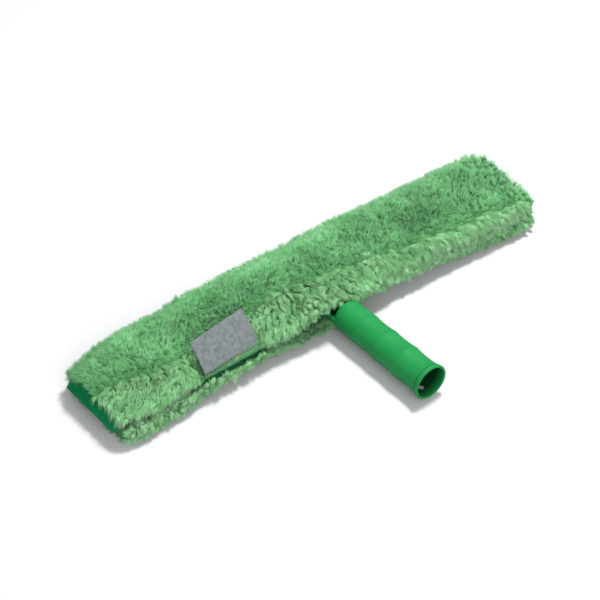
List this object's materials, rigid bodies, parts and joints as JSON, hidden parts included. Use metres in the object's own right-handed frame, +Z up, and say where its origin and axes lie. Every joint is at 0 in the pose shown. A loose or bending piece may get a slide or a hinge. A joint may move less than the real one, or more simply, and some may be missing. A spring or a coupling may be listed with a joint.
{
  "type": "window washer",
  "caption": "Flat T-bar with a hollow ringed grip, carrying a pull-on long-pile washing sleeve with a sewn care label.",
  "frame": {"origin": "on the surface the washer rests on, under the point where the handle's axis crosses the crossbar's long middle line", "axes": "+X along the crossbar towards the sleeve's closed end, the handle points along -Y, +Z up from the surface the washer lies on"},
  "size_m": [0.457, 0.1954, 0.038],
  "materials": {
    "moulded_plastic": "satin green moulded plastic with a fine spark-eroded grain",
    "pin_steel": "plain steel",
    "pile_fabric": "long tufted green microfibre pile",
    "binding_tape": "woven green binding tape",
    "sewing_thread": "green polyester sewing thread",
    "label_fabric": "grey woven label",
    "label_thread": "pale sewing thread"
  },
  "bodies": {
    "tbar": {"crossbar": "moulded_plastic", "handle": "moulded_plastic", "fixing_pin_left": "pin_steel", "fixing_pin_right": "pin_steel"},
    "sleeve": {"top_pile_panel": "pile_fabric", "front_pile_panel": "pile_fabric", "bottom_pile_panel": "pile_fabric", "end_cap_panel": "pile_fabric", "mouth_hem_top": "binding_tape", "mouth_hem_bottom": "binding_tape", "slit_hem_upper": "binding_tape", "slit_hem_lower": "binding_tape", "slit_bartack": "sewing_thread", "upper_seam_stitching": "sewing_thread", "front_seam_stitching": "sewing_thread", "back_seam_stitching": "sewing_thread", "end_seam_stitching": "sewing_thread"},
    "label": {"care_label": "label_fabric", "label_stitching": "label_thread"}
  },
  "joints": [
    {"name": "sleeve_pull_off", "type": "slide", "parent": "tbar", "child": "sleeve", "axis": [1, 0, 0], "range_m": [0, 0.46]},
    {"name": "label_flip", "type": "hinge", "parent": "sleeve", "child": "label", "pos_m": [-0.109, -0.0371, 0.0216], "axis": [1, 0, 0], "range_deg": [0, 150]}
  ]
}
